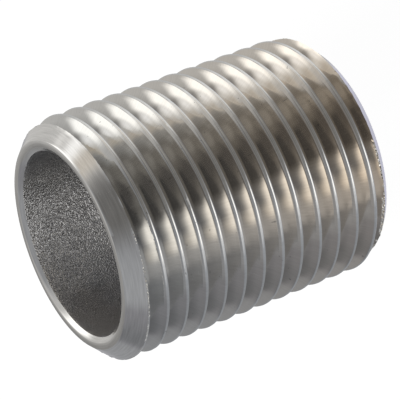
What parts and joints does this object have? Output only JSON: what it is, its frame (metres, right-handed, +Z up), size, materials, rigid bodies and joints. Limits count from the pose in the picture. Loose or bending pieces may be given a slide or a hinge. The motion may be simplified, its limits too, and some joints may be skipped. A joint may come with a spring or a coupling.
{
  "type": "threaded pipe nipple",
  "caption": "Short steel tube threaded on the outside from end to end, for joining two internally threaded pipe fittings.",
  "frame": {"origin": "on the pipe axis at mid length, which is the centre of the bounding box", "axes": "+X along the pipe axis, towards the end with the smaller lead-in chamfer; +Z up, with the nipple lying on its side; +Y completes the right-handed frame"},
  "size_m": [0.025, 0.0206, 0.0206],
  "materials": {
    "steel": "bright turned stainless steel on the thread, dull blasted grey inside the bore"
  },
  "bodies": {
    "root": {"pipe_nipple": "steel"}
  },
  "joints": []
}
